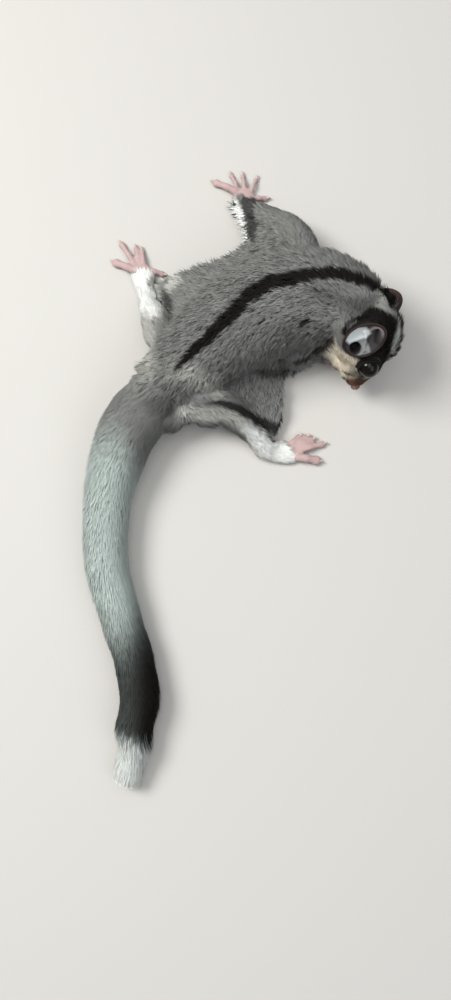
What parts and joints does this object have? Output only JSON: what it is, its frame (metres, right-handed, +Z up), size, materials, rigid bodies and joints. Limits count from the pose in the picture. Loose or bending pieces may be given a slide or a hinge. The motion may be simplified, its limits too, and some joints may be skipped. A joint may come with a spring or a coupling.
{
  "type": "sugar glider model",
  "caption": "Life-size still sugar glider crouching on flat ground, head turned down to its right, gliding skin slack along the flanks, long bushy tail laid out behind",
  "frame": {"origin": "on the floor, under the middle of the whole animal's box", "axes": "+Y runs from the tail tip towards the stretched left hand, +X to the right of that seen from above, +Z up"},
  "size_m": [0.1263, 0.254, 0.0472],
  "materials": {
    "coat": "short dense plush fur, mid grey with pale tips, black stripe along the back, cream throat and belly",
    "tail_coat": "longer soft bushy fur, pale grey darkening to a black band before a white tip",
    "bare_skin": "bare pink skin with small pale claws",
    "ear_skin": "thin bare grey pink skin",
    "eye": "wet black, glossy"
  },
  "bodies": {
    "root": {"head": "coat", "neck": "coat", "torso": "coat", "upper_arm_left": "coat", "upper_arm_right": "coat", "forearm_left": "coat", "forearm_right": "coat", "thigh_left": "coat", "thigh_right": "coat", "shin_left": "coat", "shin_right": "coat", "membrane_left": "coat", "membrane_right": "coat", "tail_base": "tail_coat", "tail_middle": "tail_coat", "tail_lower": "tail_coat", "tail_tip": "tail_coat", "hand_left": "bare_skin", "hand_right": "bare_skin", "foot_left": "bare_skin", "foot_right": "bare_skin", "ear_left": "ear_skin", "ear_right": "ear_skin", "eye_left": "eye", "eye_right": "eye"}
  },
  "joints": []
}
